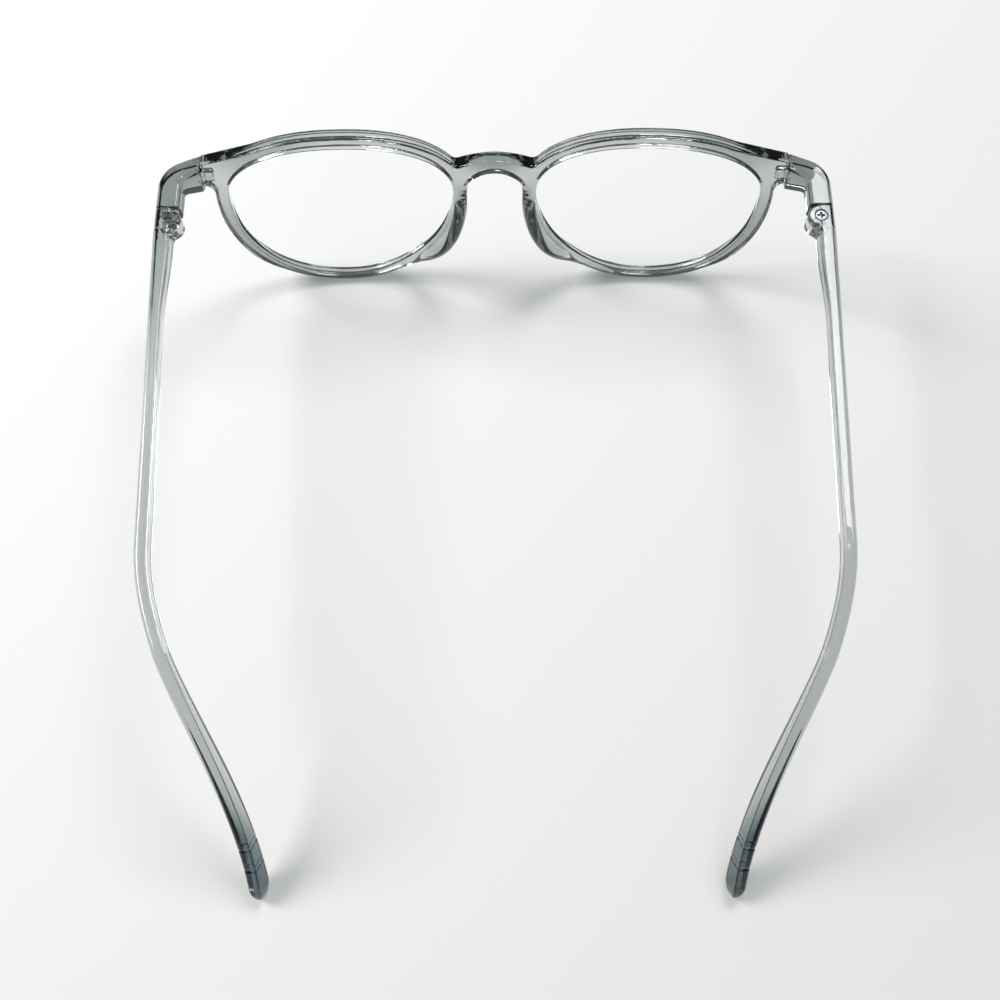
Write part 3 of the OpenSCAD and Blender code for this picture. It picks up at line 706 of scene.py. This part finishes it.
def lens_mesh():
    x, z, normal_x, normal_z = (v[::lens_stride] for v in LINE[:4])
    n = len(x)
    mid_x, mid_z = opening_x, rim_low_w + opening_h / 2
    face, rim = lens_t / 2, -lens_fit

    def ring(share, back, out):
        bulged = np.full(n, back - lens_bulge * (1 - share ** 2))
        edge_x, edge_z = x + normal_x * out, z + normal_z * out
        return np.stack([mix(mid_x, edge_x, share), bulged, mix(mid_z, edge_z, share)], -1)

    rings = [ring(s, -face, rim) for s in lens_rings]
    rings += [ring(1, -face + face_step[0], rim + face_step[1]),
              ring(1, -bevel_flat, bevel_reach - lens_fit - crest_gap),
              ring(1, bevel_flat, bevel_reach - lens_fit - crest_gap),
              ring(1, face - face_step[0], rim + face_step[1])]
    rings += [ring(s, face, rim) for s in lens_rings[::-1]]
    poles = [[mid_x, -face - lens_bulge, mid_z], [mid_x, face - lens_bulge, mid_z]]
    m = len(rings)
    j = np.arange(n)
    k = (j + 1) % n
    quads = np.concatenate([np.stack([(i + 1) * n + j, (i + 1) * n + k, i * n + k, i * n + j], -1)
                            for i in range(m - 1)])
    front = np.stack([np.full(n, m * n), j, k], -1)
    rear = np.stack([np.full(n, m * n + 1), (m - 1) * n + k, (m - 1) * n + j], -1)
    return wrap(np.concatenate(rings + [poles])), [quads, front, rear]


# Screw and insert, about the hinge axis

def screw_field(x, y, z):
    q = np.hypot(x, y)
    top = lug_h - screw_down
    half_head = (head_h - head_less) / 2
    head = rounded(q - head_r, np.abs(z - top + half_head) - half_head, head_edge)
    thread = thread_depth * np.cos(2 * np.pi * z / thread_pitch - np.arctan2(y, x)) - thread_depth
    shank = np.maximum(q - shank_r - np.where(z < -slot_h / 2 - thread_start, thread, 0),
                       np.maximum(-lug_h + shank_short - z, z - top + shank_in))
    f = smin(head, shank, shank_fillet)
    # crossed recess that narrows downwards
    depth = top - z
    ax, ay = np.abs(x), np.abs(y)
    wide, long = cross_w_draft * depth - cross_half_w, cross_len_draft * depth - cross_half_len
    arms = np.minimum(np.maximum(ax + wide, ay + long), np.maximum(ay + wide, ax + long))
    middle = q - cross_mid_r + cross_mid_draft * depth
    return smax(f, -np.maximum(np.minimum(arms, middle), depth - cross_depth), cross_edge)


def insert_field(x, y, z):
    q = np.hypot(x, y)
    knurl = knurl_depth * np.cos(knurl_n * np.arctan2(y, x) + knurl_slant * z) - knurl_depth
    wall = np.maximum(q - shank_r - insert_wall - knurl, shank_r + insert_fit - q)
    half = insert_len / 2 - insert_short
    return smax(wall, np.abs(z + lug_h - half) - half, insert_edge)


# Materials

def new_material(name):
    m = bpy.data.materials.new(name)
    m.use_nodes = True
    nt = m.node_tree
    nt.nodes.clear()
    return m, nt


def add_node(nt, kind, values=None):
    node = nt.nodes.new(kind)
    for socket, value in (values or {}).items():
        node.inputs[socket].default_value = value
    return node


def link(nt, a, b):
    nt.links.new(a, b)


def add_noise(nt, place, scale, detail):
    noise = add_node(nt, "ShaderNodeTexNoise", {"Scale": scale, "Detail": detail})
    link(nt, place.outputs["Object"], noise.inputs["Vector"])
    return noise


def add_range(nt, source, low, high, to_low=0, to_high=1):
    span = add_node(nt, "ShaderNodeMapRange",
                    {"From Min": low, "From Max": high, "To Min": to_low, "To Max": to_high})
    link(nt, source, span.inputs["Value"])
    return span.outputs["Result"]


def add_bump(nt, noise, shader, strength, distance):
    bump = add_node(nt, "ShaderNodeBump", {"Strength": strength, "Distance": distance})
    link(nt, noise.outputs["Fac"], bump.inputs["Height"])
    link(nt, bump.outputs["Normal"], shader.inputs["Normal"])


def let_lamps_through(nt, shader, out, colour):
    """Lamps and bounced light pass straight through, so that clear pieces cast pale shadows."""
    path = add_node(nt, "ShaderNodeLightPath")
    either = add_node(nt, "ShaderNodeMath")
    either.operation = "MAXIMUM"
    link(nt, path.outputs["Is Shadow Ray"], either.inputs[0])
    link(nt, path.outputs["Is Diffuse Ray"], either.inputs[1])
    through = add_node(nt, "ShaderNodeBsdfTransparent", {"Color": colour})
    both = add_node(nt, "ShaderNodeMixShader")
    link(nt, either.outputs[0], both.inputs["Fac"])
    link(nt, shader.outputs["BSDF"], both.inputs[1])
    link(nt, through.outputs["BSDF"], both.inputs[2])
    link(nt, both.outputs["Shader"], out.inputs["Surface"])


def add_ramp(nt, source, tints_and_painted_shade):
    """Colour ramp from (place, colour) stops."""
    ramp = add_node(nt, "ShaderNodeValToRGB")
    stops = ramp.color_ramp.elements
    while len(stops) < len(tints_and_painted_shade):
        stops.new(1)
    for stop, (at, colour) in zip(stops, tints_and_painted_shade):
        stop.position = at
        stop.color = (*colour, 1)
    link(nt, source, ramp.inputs["Fac"])
    return ramp.outputs["Color"]


def plastic(name, density, along, span, tints_and_painted_shade):
    """Clear moulded plastic: light soaks away with the way through it, and lamps reach what lies behind it.

    Its base colour changes over the piece, darker where shade is painted in: stops are (share of the span,
    colour), and a place's share is read from its distance along a direction, the same on the left and on the
    right."""
    m, nt = new_material(name)
    out = add_node(nt, "ShaderNodeOutputMaterial")
    shader = add_node(nt, "ShaderNodeBsdfPrincipled", {"Transmission Weight": 1, "IOR": 1.5})
    place = add_node(nt, "ShaderNodeTexCoord")
    split = add_node(nt, "ShaderNodeSeparateXYZ")
    link(nt, place.outputs["Object"], split.inputs["Vector"])
    side = add_node(nt, "ShaderNodeMath")
    side.operation = "ABSOLUTE"
    link(nt, split.outputs["X"], side.inputs[0])
    point = add_node(nt, "ShaderNodeCombineXYZ")
    link(nt, side.outputs[0], point.inputs["X"])
    link(nt, split.outputs["Y"], point.inputs["Y"])
    link(nt, split.outputs["Z"], point.inputs["Z"])
    run = add_node(nt, "ShaderNodeVectorMath")
    run.operation = "DOT_PRODUCT"
    link(nt, point.outputs["Vector"], run.inputs[0])
    run.inputs[1].default_value = along
    share = add_range(nt, run.outputs["Value"], span[0] * MM, span[1] * MM)
    link(nt, add_ramp(nt, share, tints_and_painted_shade), shader.inputs["Base Color"])
    # handling marks: fine, faint changes of gloss
    fine = add_noise(nt, place, scale=900, detail=5)
    gloss = add_range(nt, fine.outputs["Fac"], 0.35, 0.75, to_low=0.018, to_high=0.066)
    link(nt, gloss, shader.inputs["Roughness"])
    # moulding ripple: long, shallow waves
    add_bump(nt, add_noise(nt, place, scale=130, detail=1), shader, strength=0.06, distance=0.001)
    let_lamps_through(nt, shader, out, plastic_shade)
    volume = add_node(nt, "ShaderNodeVolumeAbsorption", {"Color": (*smoke, 1), "Density": density})
    link(nt, volume.outputs["Volume"], out.inputs["Volume"])
    return m


def lens_material():
    """Clear lens with fine dust in its gloss."""
    m, nt = new_material("lens_clear")
    out = add_node(nt, "ShaderNodeOutputMaterial")
    shader = add_node(nt, "ShaderNodeBsdfPrincipled",
                      {"Base Color": (0.99, 1.0, 0.995, 1), "Transmission Weight": 1, "IOR": 1.49})
    place = add_node(nt, "ShaderNodeTexCoord")
    dust = add_noise(nt, place, scale=300, detail=6)
    gloss = add_range(nt, dust.outputs["Fac"], 0.5, 0.8, to_low=0.0, to_high=0.03)
    link(nt, gloss, shader.inputs["Roughness"])
    let_lamps_through(nt, shader, out, lens_shade)
    return m


def metal(name, dark, light, rough):
    """Turned metal with a fine grain in its colour, gloss and surface."""
    m, nt = new_material(name)
    out = add_node(nt, "ShaderNodeOutputMaterial")
    shader = add_node(nt, "ShaderNodeBsdfPrincipled", {"Metallic": 1})
    grain = add_noise(nt, add_node(nt, "ShaderNodeTexCoord"), scale=4000, detail=6)
    link(nt, add_ramp(nt, grain.outputs["Fac"], [(0.3, dark), (0.7, light)]), shader.inputs["Base Color"])
    gloss = add_range(nt, grain.outputs["Fac"], 0, 1, to_low=rough * 0.7, to_high=rough * 1.5)
    link(nt, gloss, shader.inputs["Roughness"])
    add_bump(nt, grain, shader, strength=0.25, distance=0.00003)
    link(nt, shader.outputs["BSDF"], out.inputs["Surface"])
    return m


def build():
    # painted shade: the lower rims, the pads, the bridge's top, the ends by the hinges and the tips are
    # darker than the rest
    front_mat = plastic("front_plastic_clear", density=280, along=(-0.7, 0, 1), span=(-25, 40), tints_and_painted_shade=[
        (0.04, low_rim_painted_shade), (0.26, clear), (0.32, clear), (0.40, pad_painted_shade), (0.57, pad_painted_shade), (0.66, clear),
        (0.84, clear), (0.91, bridge_painted_shade)])
    # painted shade: the end piece's base colour darkens towards its arm by the hinge
    end_mat = plastic("end_plastic_clear", density=390, along=(0, 1, 0), span=(-74, -56), tints_and_painted_shade=[
        (0, clear), (0.25, clear), (0.6, arm_painted_shade)])
    # painted shade: the temple's base colour darkens at its front by the hinge and at its tip
    temple_mat = plastic("temple_plastic_clear", density=265, along=(0.78, 0.625, 0), span=(10, 82), tints_and_painted_shade=[
        (0.09, lug_painted_shade), (0.36, clear), (0.882, clear), (0.92, tip_painted_shade)])
    steel = metal("screw_steel_dark", dark=(0.09, 0.095, 0.10), light=(0.26, 0.27, 0.28), rough=0.28)
    brass = metal("insert_brass_worn", dark=(0.40, 0.31, 0.17), light=(0.66, 0.54, 0.33), rough=0.3)
    glass = lens_material()

    step = front_cell
    v, f = net(front_field,
               -step / 2 + step * np.arange(int(front_wide / step) + 2),
               np.arange(front_deep[0], front_deep[1] + step, step),
               np.arange(front_high[0], front_high[1] + step, step), half=True)
    make_object("front_shell", front_to_world(v), [f], "front", "frame_front", front_mat)

    step = end_cell
    v, f = net(end_field,
               np.arange(*end_wide, step),
               np.arange(root_line_y - end_ahead, axis_y + end_behind, step),
               np.arange(tongue_z - end_half_high, tongue_z + end_half_high, step))
    v = v + [0, shift_y, 0]
    make_object("left_end_shell", v, [f], "front", "left_end_piece", end_mat)
    make_object("right_end_shell", v, [f], "front", "right_end_piece", end_mat, mirror=True)

    tip_from = temple_len - tip_cell_len
    v, f = net(temple_field,
               spaced((temple_ahead, root_cell_len, step), (root_cell_len, tip_from, blade_cell),
                      (tip_from, temple_len + temple_behind, tip_cell)),
               np.arange(*temple_deep, step),
               np.arange(*temple_high, step))
    v = on_table(v)
    make_object("left_temple_shell", v, [f], "left_side", "left_temple", temple_mat)
    make_object("right_temple_shell", v, [f], "right_side", "right_temple", temple_mat,
                mirror=True)

    v, faces = lens_mesh()
    v = front_to_world(v)
    make_object("left_lens_clear", v, faces, "front", "left_lens", glass)
    make_object("right_lens_clear", v, faces, "front", "right_lens", glass, mirror=True)

    step = hinge_cell
    hinge = [axis_x, axis_y + shift_y, tongue_z]
    v, f = net(screw_field,
               np.arange(*screw_wide, step), np.arange(*screw_wide, step), np.arange(*screw_high, step))
    v = v + hinge
    make_object("left_screw_turned", v, [f], "left_side", "left_hinge_screw", steel)
    make_object("right_screw_turned", v, [f], "right_side", "right_hinge_screw", steel,
                mirror=True)
    v, f = net(insert_field,
               np.arange(*insert_wide, step), np.arange(*insert_deep, step), np.arange(*insert_high, step))
    v = v + hinge
    make_object("left_insert_knurled", v, [f], "left_side", "left_threaded_insert", brass)
    make_object("right_insert_knurled", v, [f], "right_side", "right_threaded_insert", brass,
                mirror=True)


# Floor and light

def add_lamp(name, place, aim, size, power, colour):
    data = bpy.data.lights.new(name, "AREA")
    data.shape = "RECTANGLE"
    data.size, data.size_y = size
    data.energy = power
    data.color = colour
    lamp = bpy.data.objects.new(name, data)
    lamp.location = place
    way = Vector(aim) - Vector(place)
    lamp.rotation_euler = way.to_track_quat("-Z", "Y").to_euler()
    bpy.context.scene.collection.objects.link(lamp)


def stage():
    n = floor_half_m
    mesh = bpy.data.meshes.new("floor")
    mesh.from_pydata([(-n, -n, 0), (n, -n, 0), (n, n, 0), (-n, n, 0)], [], [(0, 1, 2, 3)])
    floor = bpy.data.objects.new("floor", mesh)
    bpy.context.scene.collection.objects.link(floor)
    m, nt = new_material("floor_pale")
    out = add_node(nt, "ShaderNodeOutputMaterial")
    shader = add_node(nt, "ShaderNodeBsdfPrincipled",
                      {"Base Color": floor_colour, "Roughness": 0.8, "Specular IOR Level": 0.2})
    link(nt, shader.outputs["BSDF"], out.inputs["Surface"])
    mesh.materials.append(m)

    world = bpy.data.worlds.new("world")
    world.use_nodes = True
    nt = world.node_tree
    nt.nodes.clear()
    back = add_node(nt, "ShaderNodeBackground", {"Color": world_colour, "Strength": world_strength})
    out = add_node(nt, "ShaderNodeOutputWorld")
    link(nt, back.outputs["Background"], out.inputs["Surface"])
    bpy.context.scene.world = world

    for name, settings in lamps.items():
        add_lamp(name, *settings)


place_camera()
build()
stage()
bpy.context.scene.view_settings.view_transform = "Standard"
bpy.context.view_layer.update()
